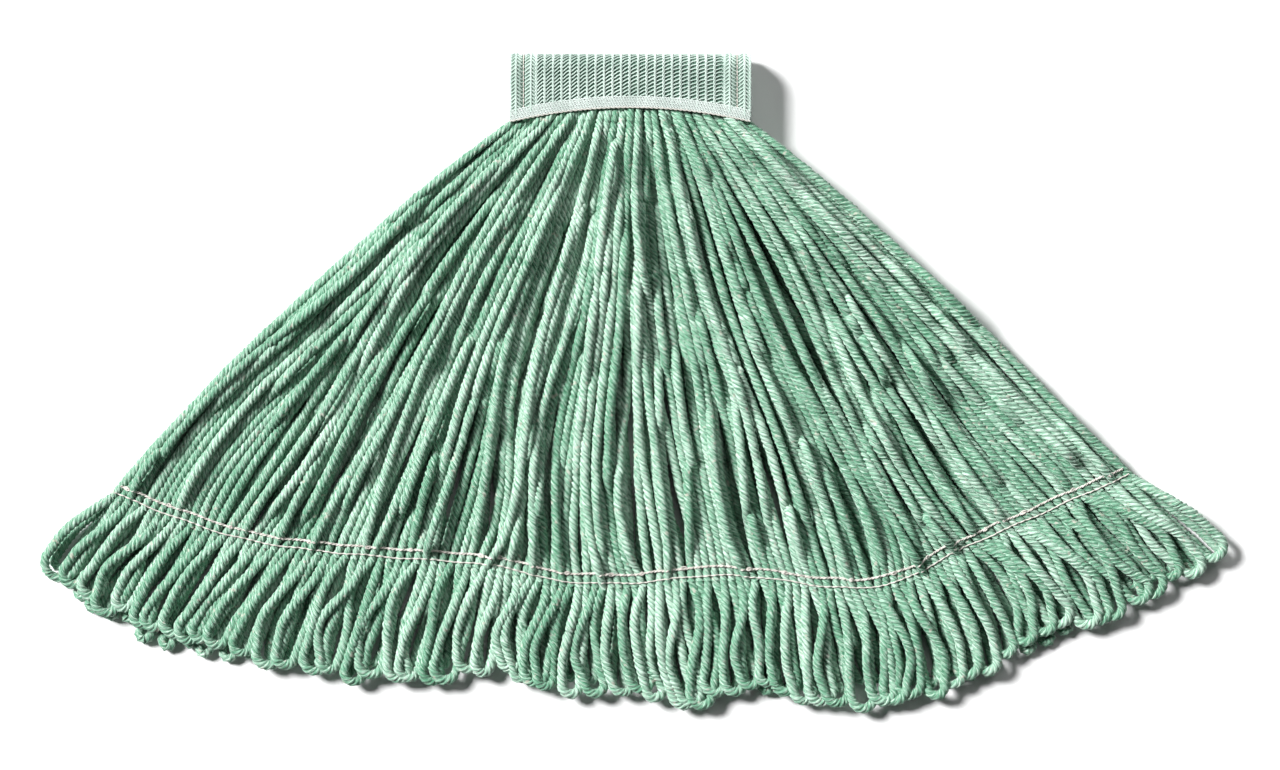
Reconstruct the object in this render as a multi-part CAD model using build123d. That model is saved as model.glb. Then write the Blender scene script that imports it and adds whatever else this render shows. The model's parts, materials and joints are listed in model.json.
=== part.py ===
from build123d import *
import math
import os

# Looped-end wet mop head lying flat on a floor, fanned out.
# X runs across the head, +Y points to the headband, +Z points up. Sizes are millimetres and degrees.
# The origin is at the middle of the head's footprint, on the floor.

# Headband: a knitted mesh sleeve folded over the middle of the yarns
BAND_WIDTH = 152.0
BAND_CENTRE_X = -3.3
BAND_TOP_Y = 208.0
BAND_FOLD_RADIUS = 9.0
MESH_WALL = 1.2
HEM_WIDTH = 17.0
HEM_RIB_GAP = 1.8
HEM_RIB_PROUD = 0.7
HEM_RIB_MARGIN = 1.2
TAPE_HEIGHT = 7.0
TAPE_PROUD = 0.9
SEAM_RISE = 9.0
THREAD_WIDTH = 1.0
THREAD_HEIGHT = 0.4
THREAD_EDGE = 2.6

# Skirt: two layers of yarn, back on the floor and front on top of it
CREASE_Y = 166.0
YARN_BUNDLES = 10
LAYER_GAP = 0.4
BUNDLE_GAP = 0.6
CREASE_GAP = 0.4
FOLD_CLEARANCE = 0.1
SEAM_THICKNESS = 13.6
SHOULDER_THICKNESS = 14.4
MIDDLE_THICKNESS = 9.6
TAIL_THICKNESS = 6.0
SHOULDER_PLACE = 0.12
MIDDLE_PLACE = 0.5
TAIL_FLAT_PLACE = 0.93
TAIL_LIFT = 1.2
BAND_SPLAY = 46.0
TAIL_SPLAY_LEFT = -50.0
TAIL_SPLAY_RIGHT = 44.0

# Tailband: two rows of stitching across each layer, along the line where the fringe starts
TAIL_KNOTS = ((-334, -71), (-227, -106), (-97, -119), (58, -129), (173, -130), (319, -59))
TAIL_THREAD_WIDTH = 1.0
TAIL_THREAD_HEIGHT = 0.8
TAIL_ROW_PITCH = 5.7
TAIL_ROW_INSET = 3.0

# Fringe: looped yarn ends past the tailband, leaning outwards by these angles at the knots
FRINGE_LEAN = (-42.0, -26.0, -16.0, 2.0, 16.0, 52.0)
FRINGE_LENGTH = 73.0
FRINGE_FLIP = 60.0
FRINGE_MARGIN = 2.0
FRINGE_ROOT = 5.0
LOOP_PITCH = 11.4
LOOP_WIDTH = 10.2
LOOP_SLOT = 1.2
HINGE_GAP = 0.3

BAND_LEFT = BAND_CENTRE_X - BAND_WIDTH / 2
BAND_RIGHT = BAND_CENTRE_X + BAND_WIDTH / 2
MESH_BOTTOM = THREAD_HEIGHT + TAPE_PROUD
MESH_TOP = 2 * SEAM_THICKNESS + LAYER_GAP - THREAD_HEIGHT
TAPE_TOP = MESH_TOP + TAPE_PROUD
GROUPS = len(TAIL_KNOTS) - 1

nodes = {}


def mix(low, high, share):
    """Value a share of the way from low to high."""
    return low + (high - low) * share


def heading(angle):
    """Unit vector on the floor, measured from straight down the skirt, positive to the right."""
    turn = math.radians(angle)
    return Vector(math.sin(turn), -math.cos(turn), 0)


def tail_point(u):
    """Point on the tail line for a place u across the fan, 0 at the left and 1 at the right."""
    group = min(int(u * GROUPS + 1e-9), GROUPS - 1)
    share = u * GROUPS - group
    start, end = Vector(*TAIL_KNOTS[group], 0), Vector(*TAIL_KNOTS[group + 1], 0)
    return start + (end - start) * share


def fan_point(u, t):
    """Point on the floor for a yarn at u, a share t of its way from the crease to the tail line."""
    start = Vector(mix(BAND_LEFT, BAND_RIGHT, u), CREASE_Y - CREASE_GAP / 2, 0)
    end = tail_point(u)
    reach = (end - start).length / 3
    out = start + heading(mix(-BAND_SPLAY, BAND_SPLAY, u)) * reach
    back = end - heading(mix(TAIL_SPLAY_LEFT, TAIL_SPLAY_RIGHT, u)) * reach
    s = 1 - t
    return start * s**3 + out * (3 * s * s * t) + back * (3 * s * t * t) + end * t**3


def upright(start, end, low, high):
    """Upright four-sided face between two points on the floor, from one height to another."""
    inset = (end - start).normalized() * (BUNDLE_GAP / 2)
    a, b = start + inset, end - inset
    corners = [(a.X, a.Y, low), (b.X, b.Y, low), (b.X, b.Y, high), (a.X, a.Y, high)]
    return Face(Wire.make_polygon(corners, close=True))


def layer_stations():
    """Place along the yarn, back layer's underside and layer thickness, from the crease to the tail."""
    return [
        (0.0, 0.0, SEAM_THICKNESS),
        (SHOULDER_PLACE, 0.0, SHOULDER_THICKNESS),
        (MIDDLE_PLACE, 0.0, MIDDLE_THICKNESS),
        (TAIL_FLAT_PLACE, TAIL_LIFT, TAIL_THICKNESS),
        (1.0, TAIL_LIFT, TAIL_THICKNESS),
    ]


def yarn_bundle(index, front):
    """One bundle of yarns of the front or back layer, from the crease to the tail line."""
    left, right = index / YARN_BUNDLES, (index + 1) / YARN_BUNDLES
    sections = []
    for t, underside, thickness in layer_stations():
        low = underside + (thickness + LAYER_GAP) * front
        sections.append(upright(fan_point(left, t), fan_point(right, t), low, low + thickness))
    return Solid.make_loft([section.outer_wire() for section in sections], ruled=True)


def offset_line(distance):
    """Tail line moved away from the skirt by a distance, between the skirt's side edges."""
    knots = [Vector(*knot, 0) for knot in TAIL_KNOTS]
    normals = [(b - a).normalized().rotate(Axis.Z, -90) for a, b in zip(knots, knots[1:])]
    left, right = heading(TAIL_SPLAY_LEFT), heading(TAIL_SPLAY_RIGHT)
    line = [knots[0] + left * (distance / left.dot(normals[0]))]
    for knot, before, after in zip(knots[1:-1], normals, normals[1:]):
        corner = (before + after).normalized()
        line.append(knot + corner * (distance / corner.dot(after)))
    return line + [knots[-1] + right * (distance / right.dot(normals[-1]))]


def tail_thread(row, bottom, height):
    """Stitching thread across a layer; row 0 is the one nearer the fringe."""
    middle = -(TAIL_ROW_INSET + row * TAIL_ROW_PITCH)
    edge = offset_line(middle - TAIL_THREAD_WIDTH / 2)
    other = offset_line(middle + TAIL_THREAD_WIDTH / 2)
    outline = Face(Wire.make_polygon(edge + other[::-1], close=True))
    return extrude(Pos(0, 0, bottom) * outline, height, dir=(0, 0, 1))


def chord(group):
    """Ends, direction and outward normal of a fringe group's straight hinge line."""
    start, end = Vector(*TAIL_KNOTS[group], 0), Vector(*TAIL_KNOTS[group + 1], 0)
    along = (end - start).normalized()
    return start, end, along, along.rotate(Axis.Z, -90)


def corner_wedge(knot):
    """Angle left open between two fringe groups, so that they stay apart when both are flipped."""
    if knot in (0, GROUPS):
        return 0.0
    turn = chord(knot)[2].get_angle(chord(knot - 1)[2])
    return turn * (1 - math.cos(math.radians(FRINGE_FLIP))) + FRINGE_MARGIN


def loop_outline(root, lean, length):
    """Flat outline of one looped yarn end, with the narrow slot between its two legs."""
    straight = length - LOOP_WIDTH / 2
    leg = Rectangle(LOOP_WIDTH, straight, align=(Align.CENTER, Align.MAX))
    end = Pos(0, -straight) * Circle(LOOP_WIDTH / 2)
    slot_length = straight - FRINGE_ROOT - LOOP_SLOT
    slot = Rectangle(LOOP_SLOT, slot_length, align=(Align.CENTER, Align.MAX))
    slot_end = Pos(0, -slot_length) * Circle(LOOP_SLOT)
    loop = leg + end - Pos(0, -FRINGE_ROOT) * (slot + slot_end)
    return Pos(root.X, root.Y) * Rot(0, 0, lean) * loop


def fringe(group, bottom):
    """One group of looped ends, joined along its root by the tailband."""
    start, end, along, out = chord(group)
    width = (end - start).length - 2 * FRINGE_MARGIN
    first = start + along * FRINGE_MARGIN + out * (2 * HINGE_GAP)
    count = int(width / LOOP_PITCH)
    spare = (width - LOOP_WIDTH) / (count - 1)
    lean_left = FRINGE_LEAN[group] + corner_wedge(group) / 2
    lean_right = FRINGE_LEAN[group + 1] - corner_wedge(group + 1) / 2
    last = first + along * width
    strip = [first + out * FRINGE_ROOT, last + out * FRINGE_ROOT, last, first]
    shape = Sketch() + Face(Wire.make_polygon(strip, close=True))
    for index in range(count):
        lean = mix(lean_left, lean_right, index / (count - 1))
        root = first + along * (LOOP_WIDTH / 2 + index * spare)
        shape += loop_outline(root, lean, FRINGE_LENGTH)
    near_left, near_right = first - along * FRINGE_LENGTH, last + along * FRINGE_LENGTH
    far = out * -FRINGE_LENGTH
    skirt_side = [near_left, near_right, near_right + far, near_left + far]
    shape -= Face(Wire.make_polygon(skirt_side, close=True))
    return extrude(Pos(0, 0, bottom) * shape, TAIL_THICKNESS, dir=(0, 0, 1))


def sleeve_profile(x, inset, proud=0.0):
    """Outline across the folded band at x, rounded at the fold and open-ended past the seam."""
    low, high = MESH_BOTTOM + inset - proud, MESH_TOP - inset + proud
    top = BAND_TOP_Y - inset + proud
    radius = BAND_FOLD_RADIUS - inset + proud
    foot = CREASE_Y - TAPE_HEIGHT
    line = FilletPolyline(
        (foot, low), (top, low), (top, high), (foot, high), radius=radius, close=False
    )
    face = make_face(Wire(line.edges() + [Edge.make_line((foot, high), (foot, low))]))
    return Plane((x, 0, 0), x_dir=(0, 1, 0), z_dir=(1, 0, 0)) * face


def sleeve(left, right, outer_inset, inner_inset):
    """Stretch of the folded band between two places across it, as an open-ended shell."""
    outside = extrude(sleeve_profile(left, outer_inset), right - left, dir=(1, 0, 0))
    inside = extrude(sleeve_profile(left, inner_inset), right - left, dir=(1, 0, 0))
    return outside - inside


def above_seam(rise):
    """Tall block over the arched seam line, moved up the band by a rise."""
    low = CREASE_Y + CREASE_GAP / 2 + rise
    arch = ThreePointArc(
        (BAND_LEFT, low), (BAND_CENTRE_X, low + SEAM_RISE), (BAND_RIGHT, low)
    )
    sky = BAND_TOP_Y + BAND_WIDTH
    far = Polyline((BAND_RIGHT, low), (BAND_RIGHT, sky), (BAND_LEFT, sky), (BAND_LEFT, low))
    return extrude(make_face(Wire(arch.edges() + far.edges())), 2 * MESH_TOP, dir=(0, 0, 1))


def seam_strip(rise, height, bottom, thickness):
    """Strip of one height along the arched seam."""
    strip = above_seam(rise) - above_seam(rise + height)
    slab = Pos(BAND_CENTRE_X, CREASE_Y, bottom) * Box(
        2 * BAND_WIDTH, 4 * BAND_TOP_Y, thickness, align=(Align.CENTER, Align.CENTER, Align.MIN)
    )
    return strip & slab


def hem(left):
    """End hem of the band: the mesh with two raised ribs round the fold."""
    body = sleeve(left, left + HEM_WIDTH, 0, MESH_WALL)
    rib_width = (HEM_WIDTH - HEM_RIB_GAP) / 2 - HEM_RIB_MARGIN
    for place in (HEM_RIB_MARGIN, (HEM_WIDTH + HEM_RIB_GAP) / 2):
        body += sleeve(left + place, left + place + rib_width, -HEM_RIB_PROUD, MESH_WALL)
    return body & above_seam(TAPE_HEIGHT)


def hem_thread(left):
    """Row of stitching up the middle of a hem, between its ribs and on the front of the band."""
    low = CREASE_Y + SEAM_RISE + TAPE_HEIGHT
    high = BAND_TOP_Y - BAND_FOLD_RADIUS
    middle = left + HEM_WIDTH / 2
    return Pos(middle, (low + high) / 2, MESH_TOP) * Box(
        THREAD_WIDTH, high - low, THREAD_HEIGHT, align=(Align.CENTER, Align.CENTER, Align.MIN)
    )


def yarn_fold(index):
    """Yarns inside the band, folded over its top, down to the straight crease line."""
    pitch = BAND_WIDTH / YARN_BUNDLES
    left = BAND_LEFT + index * pitch + BUNDLE_GAP / 2
    block = extrude(
        sleeve_profile(left, MESH_WALL + FOLD_CLEARANCE), pitch - BUNDLE_GAP, dir=(1, 0, 0)
    )
    front = Pos(left, CREASE_Y + CREASE_GAP / 2, 0) * Box(
        pitch, 2 * BAND_TOP_Y, 2 * MESH_TOP, align=(Align.MIN, Align.MIN, Align.MIN)
    )
    return block & front


def make_headband():
    """Every piece of the folded band and of the seam along its open edge."""
    nodes["headband_mesh"] = (
        sleeve(BAND_LEFT + HEM_WIDTH, BAND_RIGHT - HEM_WIDTH, 0, MESH_WALL) & above_seam(TAPE_HEIGHT)
    )
    nodes["left_hem"] = hem(BAND_LEFT)
    nodes["right_hem"] = hem(BAND_RIGHT - HEM_WIDTH)
    nodes["left_hem_thread"] = hem_thread(BAND_LEFT)
    nodes["right_hem_thread"] = hem_thread(BAND_RIGHT - HEM_WIDTH)
    tape = MESH_WALL + TAPE_PROUD
    nodes["front_seam_tape"] = seam_strip(0, TAPE_HEIGHT, MESH_TOP - MESH_WALL, tape)
    nodes["back_seam_tape"] = seam_strip(0, TAPE_HEIGHT, THREAD_HEIGHT, tape)
    nodes["front_seam_thread"] = seam_strip(THREAD_EDGE, THREAD_WIDTH, TAPE_TOP, THREAD_HEIGHT)
    nodes["back_seam_thread"] = seam_strip(THREAD_EDGE, THREAD_WIDTH, 0, THREAD_HEIGHT)
    for index in range(YARN_BUNDLES):
        nodes[f"yarn_fold_{index + 1}"] = yarn_fold(index)


def make_skirt():
    """Both layers of yarn, with the tailband's stitching across each."""
    for index in range(YARN_BUNDLES):
        nodes[f"back_yarn_{index + 1}"] = yarn_bundle(index, 0)
        nodes[f"front_yarn_{index + 1}"] = yarn_bundle(index, 1)
    back_bottom = TAIL_LIFT - TAIL_THREAD_HEIGHT
    front_top = TAIL_LIFT + 2 * TAIL_THICKNESS + LAYER_GAP
    for row, name in enumerate(("lower", "upper")):
        nodes[f"back_tail_thread_{name}"] = tail_thread(row, back_bottom, TAIL_THREAD_HEIGHT)
        nodes[f"front_tail_thread_{name}"] = tail_thread(row, front_top, TAIL_THREAD_HEIGHT)


def make_fringe():
    """Groups of looped ends, the back ones on the floor and the front ones on top of them."""
    front_bottom = TAIL_LIFT + TAIL_THICKNESS + LAYER_GAP
    for group in range(GROUPS):
        nodes[f"back_fringe_{group + 1}"] = fringe(group, 0)
        nodes[f"front_fringe_{group + 1}"] = fringe(group, front_bottom)


def print_joints(shift):
    """Places of the crease and of the fringe hinges, after the head is centred on its origin."""
    crease = Vector(BAND_CENTRE_X, CREASE_Y, TAPE_TOP + 2 * THREAD_HEIGHT) + shift
    print("crease", [round(v / 1000, 6) for v in crease])
    top = TAIL_LIFT + 2 * TAIL_THICKNESS + LAYER_GAP
    for group in range(GROUPS):
        start, end, along, out = chord(group)
        place = (start + end) * 0.5 + out * HINGE_GAP + Vector(0, 0, top) + shift
        print("hinge", group + 1, [round(v / 1000, 6) for v in place], [round(v, 6) for v in along])


def main():
    """Build every piece, centre the head on its footprint and write the parts."""
    make_headband()
    make_skirt()
    make_fringe()
    box = Compound([piece for shape in nodes.values() for piece in shape.solids()]).bounding_box()
    shift = Vector(-(box.min.X + box.max.X) / 2, -(box.min.Y + box.max.Y) / 2, 0)
    os.makedirs("parts", exist_ok=True)
    for name, shape in nodes.items():
        solids = shape.solids()
        placed = Pos(shift.X, shift.Y, shift.Z) * (solids[0] if len(solids) == 1 else Compound(solids))
        export_step(placed, f"parts/{name}.step")
    print("size", box.size)
    print_joints(shift)


main()
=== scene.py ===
"""Looped-end wet mop head lying flat on a floor: two layers of twisted yarn, a knitted headband,
a stitched tailband and a fringe of loops. Lengths are metres, and angles in the plans are degrees."""

import json
import logging
import math
from dataclasses import dataclass
from enum import Enum

import bpy
import numpy as np
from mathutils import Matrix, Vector


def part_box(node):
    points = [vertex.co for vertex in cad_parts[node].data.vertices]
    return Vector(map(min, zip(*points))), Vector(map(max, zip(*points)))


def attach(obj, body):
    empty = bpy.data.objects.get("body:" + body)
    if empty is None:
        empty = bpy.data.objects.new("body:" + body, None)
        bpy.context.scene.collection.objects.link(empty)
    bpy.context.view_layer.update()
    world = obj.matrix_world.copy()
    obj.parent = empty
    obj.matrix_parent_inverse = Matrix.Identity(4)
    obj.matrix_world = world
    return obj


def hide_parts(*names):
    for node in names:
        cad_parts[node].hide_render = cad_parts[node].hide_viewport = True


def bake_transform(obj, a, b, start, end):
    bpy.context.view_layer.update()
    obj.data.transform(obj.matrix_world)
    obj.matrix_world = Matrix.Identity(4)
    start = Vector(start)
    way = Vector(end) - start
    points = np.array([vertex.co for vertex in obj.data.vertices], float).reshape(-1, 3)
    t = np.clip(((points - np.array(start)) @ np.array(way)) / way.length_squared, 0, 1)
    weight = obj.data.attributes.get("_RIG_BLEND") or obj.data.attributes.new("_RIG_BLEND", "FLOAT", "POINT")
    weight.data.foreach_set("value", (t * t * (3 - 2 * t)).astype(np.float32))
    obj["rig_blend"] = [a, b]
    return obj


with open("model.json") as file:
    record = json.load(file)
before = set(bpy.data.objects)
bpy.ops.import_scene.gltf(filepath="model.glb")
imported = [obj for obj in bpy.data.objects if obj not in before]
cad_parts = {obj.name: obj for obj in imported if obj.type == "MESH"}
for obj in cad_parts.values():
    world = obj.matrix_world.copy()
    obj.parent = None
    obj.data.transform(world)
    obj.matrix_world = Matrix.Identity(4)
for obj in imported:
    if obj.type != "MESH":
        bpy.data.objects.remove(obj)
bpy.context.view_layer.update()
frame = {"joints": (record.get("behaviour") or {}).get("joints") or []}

log = logging.getLogger("mop")


# ---------------------------------------------------------------- node building


class Graph:
    """Builds the nodes of one shader or geometry tree."""

    def __init__(self, tree: bpy.types.NodeTree) -> None:
        """Keep the tree that nodes are added to."""
        self.tree = tree

    def add(self, kind: str, settings: dict | None = None, inputs: dict | None = None) -> bpy.types.Node:
        """Add one node.

        Args:
            kind: The node's Blender type.
            settings: Its own settings, which are set before its sockets.
            inputs: Values or links of its sockets, by name or place.

        Returns:
            The new node.
        """
        node = self.tree.nodes.new(kind)
        for name, value in (settings or {}).items():
            setattr(node, name, value)
        for key, value in (inputs or {}).items():
            self.feed(node.inputs[key], value)
        return node

    def feed(self, socket: bpy.types.NodeSocket, value: object) -> None:
        """Link a socket to a wrapped one, or set its own value.

        Args:
            socket: The socket to feed.
            value: A wrapped socket, or a plain value.
        """
        if isinstance(value, Term):
            self.tree.links.new(value.socket, socket)
        else:
            socket.default_value = value

    def term(self, kind: str, settings: dict | None = None, inputs: dict | None = None,
             out: int | str = 0) -> "Term":
        """Add a node and wrap one of its outputs.

        Args:
            kind: The node's Blender type.
            settings: Its own settings.
            inputs: Values or links of its sockets.
            out: The output's name or place.

        Returns:
            The wrapped output.
        """
        return Term(self, self.add(kind, settings, inputs).outputs[out])

    def attribute(self, name: str, out: str = "Fac") -> "Term":
        """Read a named attribute of the mesh in a shader."""
        return self.term("ShaderNodeAttribute", {"attribute_name": name}, None, out)

    def blend(self, share: "Term | float", low: object, high: object) -> "Term":
        """Mix two colours by a share from 0 to 1.

        Args:
            share: How much of the second colour.
            low: The first colour.
            high: The second colour.

        Returns:
            The mixed colour.
        """
        node = self.add("ShaderNodeMix", {"data_type": "RGBA"})
        self.feed(node.inputs["Factor"], share)
        colours = [socket for socket in node.inputs if socket.type == "RGBA"]
        for socket, colour in zip(colours, (low, high)):
            self.feed(socket, colour)
        return Term(self, next(socket for socket in node.outputs if socket.type == "RGBA"))

    def noise(self, place: "Term", scale: float, detail: float = 2.0, rough: float = 0.5) -> "Term":
        """Noise value from 0 to 1 at a place.

        Args:
            place: Where to read it.
            scale: How fine it is.
            detail: How many finer layers.
            rough: How strong those are.

        Returns:
            The value.
        """
        settings = {"noise_dimensions": "3D"}
        inputs = {"Vector": place, "Scale": scale, "Detail": detail, "Roughness": rough}
        return self.term("ShaderNodeTexNoise", settings, inputs)


class Term:
    """One socket in an expression: arithmetic on it adds Math nodes to its tree."""

    def __init__(self, graph: Graph, socket: bpy.types.NodeSocket) -> None:
        """Wrap a socket of a graph."""
        self.graph = graph
        self.socket = socket

    def _math(self, operation: str, *values: object) -> "Term":
        """Add one Math node with these values in order."""
        kind = "ShaderNodeMath"
        return self.graph.term(kind, {"operation": operation}, dict(enumerate(values)))

    def __add__(self, other: "Term | float") -> "Term":
        """Sum."""
        return self._math("ADD", self, other)

    def __sub__(self, other: "Term | float") -> "Term":
        """Difference."""
        return self._math("SUBTRACT", self, other)

    def __mul__(self, other: "Term | float") -> "Term":
        """Product."""
        return self._math("MULTIPLY", self, other)

    def __truediv__(self, other: "Term | float") -> "Term":
        """Quotient."""
        return self._math("DIVIDE", self, other)

    def __pow__(self, other: "Term | float") -> "Term":
        """Power."""
        return self._math("POWER", self, other)

    def __radd__(self, other: float) -> "Term":
        """Sum with a number on the left."""
        return self._math("ADD", other, self)

    def __rsub__(self, other: float) -> "Term":
        """Difference with a number on the left."""
        return self._math("SUBTRACT", other, self)

    def __rmul__(self, other: float) -> "Term":
        """Product with a number on the left."""
        return self._math("MULTIPLY", other, self)

    def __rtruediv__(self, other: float) -> "Term":
        """Quotient with a number on the left."""
        return self._math("DIVIDE", other, self)

    def wave(self) -> "Term":
        """Cosine, moved and scaled to run from 0 to 1."""
        return self._math("COSINE", self) * 0.5 + 0.5

    def between(self, low: float, high: float) -> "Term":
        """Smooth step from 0 at low to 1 at high.

        Args:
            low: Value where the step starts.
            high: Value where it ends.

        Returns:
            The step.
        """
        settings = {"interpolation_type": "SMOOTHSTEP"}
        inputs = {"Value": self, "From Min": low, "From Max": high}
        return self.graph.term("ShaderNodeMapRange", settings, inputs)

    def scaled(self, factors: tuple[float, float, float]) -> "Term":
        """Vector with each of its parts multiplied by its own factor."""
        settings = {"operation": "MULTIPLY"}
        return self.graph.term("ShaderNodeVectorMath", settings, {0: self, 1: factors})


# ---------------------------------------------------------------- finishes


@dataclass(frozen=True)
class Dye:
    """Colour in linear light."""

    red: float
    green: float
    blue: float

    @property
    def rgba(self) -> tuple[float, float, float, float]:
        """The colour with full opacity."""
        return (self.red, self.green, self.blue, 1.0)


@dataclass(frozen=True)
class YarnFinish:
    """Blended cotton yarn: dyed and undyed fibres carded together, twisted into plies."""

    name: str = "yarn_green"
    pale: Dye = Dye(0.545, 0.70, 0.60)
    middle: Dye = Dye(0.155, 0.355, 0.235)
    deep: Dye = Dye(0.022, 0.128, 0.062)
    fleck: Dye = Dye(0.74, 0.76, 0.70)
    blush: Dye = Dye(0.62, 0.52, 0.47)
    fibre_count: float = 3.2
    fibre_run: float = 240.0
    fleck_scale: float = 380.0
    bump_height: float = 0.0004

    def build(self) -> bpy.types.Material:
        """Make the material from the sweep's own attributes and object coordinates.

        Returns:
            The material.
        """
        material, graph, shader = new_material(self.name)
        fibre = graph.attribute("fibre", "Vector")
        ridge = graph.attribute("ridge")
        tone = graph.attribute("tone")
        place = graph.term("ShaderNodeTexCoord", None, None, "Object")
        count, run = self.fibre_count, self.fibre_run
        streak = graph.noise(fibre.scaled((count * 3.0, count * 3.0, run * 1.6)), 1.0, 3.0, 0.65)
        mottle = graph.noise(fibre.scaled((count, count, run)), 1.0, 3.0, 0.6)
        patch = graph.noise(place, 24.0, 2.0)
        blend = streak * 0.35 + mottle * 0.65 + (tone - 0.5) * 0.09 + (patch - 0.5) * 0.10
        lit = blend.between(0.33, 0.49)
        high = blend.between(0.465, 0.61)
        body = graph.blend(high, graph.blend(lit, self.deep.rgba, self.middle.rgba), self.pale.rgba)
        # Painted shade: the grooves between the plies are darkened towards the deep green.
        groove_shaded = graph.blend(0.42 + ridge.between(0.0, 0.55) * 0.58, self.deep.rgba, body)
        speckle = graph.noise(fibre.scaled((count * 2.2, count * 2.2, self.fleck_scale)), 1.0, 2.0, 0.6)
        pale_fleck = speckle.between(0.585, 0.68) * 0.75
        flecked = graph.blend(pale_fleck, groove_shaded, self.fleck.rgba)
        seed = graph.noise(place, self.fleck_scale * 0.62, 1.0)
        blushed = graph.blend(seed.between(0.67, 0.74) * 0.45, flecked, self.blush.rgba)
        graph.feed(shader.inputs["Base Color"], blushed)
        graph.feed(shader.inputs["Roughness"], 0.78 + streak * 0.2)
        height = streak * 0.6 + speckle * 0.4
        relief = {"Height": height, "Distance": self.bump_height, "Strength": 0.9}
        graph.feed(shader.inputs["Normal"], graph.term("ShaderNodeBump", None, relief))
        soften(shader, 0.12)
        return material


@dataclass(frozen=True)
class ThreadFinish:
    """Small twisted thread, as in the knitted mesh, the tape and the stitching."""

    name: str
    light: Dye
    dark: Dye
    patch_scale: float = 60.0
    bump_height: float = 0.00012

    def build(self) -> bpy.types.Material:
        """Make the material from the sweep's own attributes and object coordinates.

        Returns:
            The material.
        """
        material, graph, shader = new_material(self.name)
        fibre = graph.attribute("fibre", "Vector")
        ridge = graph.attribute("ridge")
        tone = graph.attribute("tone")
        place = graph.term("ShaderNodeTexCoord", None, None, "Object")
        streak = graph.noise(fibre.scaled((3.0, 3.0, 900.0)), 1.0, 2.0, 0.6)
        patch = graph.noise(place, self.patch_scale, 2.0)
        share = streak * 0.5 + patch * 0.5 + (tone - 0.5) * 0.25
        colour = graph.blend(share.between(0.32, 0.62), self.dark.rgba, self.light.rgba)
        shaded = graph.blend(0.4 + ridge.between(0.0, 0.6) * 0.6, self.dark.rgba, colour)
        graph.feed(shader.inputs["Base Color"], shaded)
        graph.feed(shader.inputs["Roughness"], 0.7 + streak * 0.25)
        relief = {"Height": streak, "Distance": self.bump_height, "Strength": 0.8}
        graph.feed(shader.inputs["Normal"], graph.term("ShaderNodeBump", None, relief))
        soften(shader, 0.25)
        return material


@dataclass(frozen=True)
class GroundFinish:
    """Fabric under the knitted stitches, with courses and wales of its own. Under the open mesh it is a dark
    sheet of painted shade, standing for the shade seen through the mesh's holes.
    """

    name: str
    light: Dye
    dark: Dye
    wale: float = 0.0017
    course: float = 0.0019
    bump_height: float = 0.0003

    def build(self) -> bpy.types.Material:
        """Make the material from the sheet's own flat coordinates.

        Returns:
            The material.
        """
        material, graph, shader = new_material(self.name)
        flat = graph.attribute("flat", "Vector")
        parts = graph.add("ShaderNodeSeparateXYZ", None, {0: flat})
        across, along = Term(graph, parts.outputs["X"]), Term(graph, parts.outputs["Y"])
        wales = (across * (2 * math.pi / self.wale)).wave()
        courses = ((along + across * 0.45) * (2 * math.pi / self.course)).wave()
        wear = graph.noise(flat, 140.0, 3.0)
        weave = wales * 0.45 + courses * 0.55
        share = weave * 0.7 + wear * 0.3
        colour = graph.blend(share.between(0.2, 0.8), self.dark.rgba, self.light.rgba)
        graph.feed(shader.inputs["Base Color"], colour)
        graph.feed(shader.inputs["Roughness"], 0.8 + wear * 0.15)
        relief = {"Height": weave, "Distance": self.bump_height, "Strength": 0.8}
        graph.feed(shader.inputs["Normal"], graph.term("ShaderNodeBump", None, relief))
        soften(shader, 0.2)
        return material


@dataclass(frozen=True)
class FloorFinish:
    """Plain pale studio floor."""

    name: str = "studio_floor"
    paint: Dye = Dye(0.88, 0.88, 0.88)

    def build(self) -> bpy.types.Material:
        """Make the material with a faint unevenness.

        Returns:
            The material.
        """
        material, graph, shader = new_material(self.name)
        place = graph.term("ShaderNodeTexCoord", None, None, "Object")
        shade = graph.noise(place, 3.0, 2.0)
        under = Dye(self.paint.red * 0.985, self.paint.green * 0.985, self.paint.blue * 0.985)
        colour = graph.blend(shade, self.paint.rgba, under.rgba)
        graph.feed(shader.inputs["Base Color"], colour)
        graph.feed(shader.inputs["Roughness"], 0.9)
        return material


def new_material(name: str) -> tuple[bpy.types.Material, Graph, bpy.types.Node]:
    """Make an empty material.

    Args:
        name: The material's name.

    Returns:
        The material, a graph on its tree and its main shader node.
    """
    material = bpy.data.materials.new(name)
    material.use_nodes = True
    tree = material.node_tree
    shader = next(node for node in tree.nodes if node.type == "BSDF_PRINCIPLED")
    return material, Graph(tree), shader


def soften(shader: bpy.types.Node, sheen: float) -> None:
    """Give a fabric shader its low gloss and the sheen of loose fibres.

    Args:
        shader: The material's main shader.
        sheen: How strong the sheen is.
    """
    shader.inputs["Specular IOR Level"].default_value = 0.25
    shader.inputs["Sheen Weight"].default_value = sheen
    shader.inputs["Sheen Roughness"].default_value = 0.5


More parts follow.
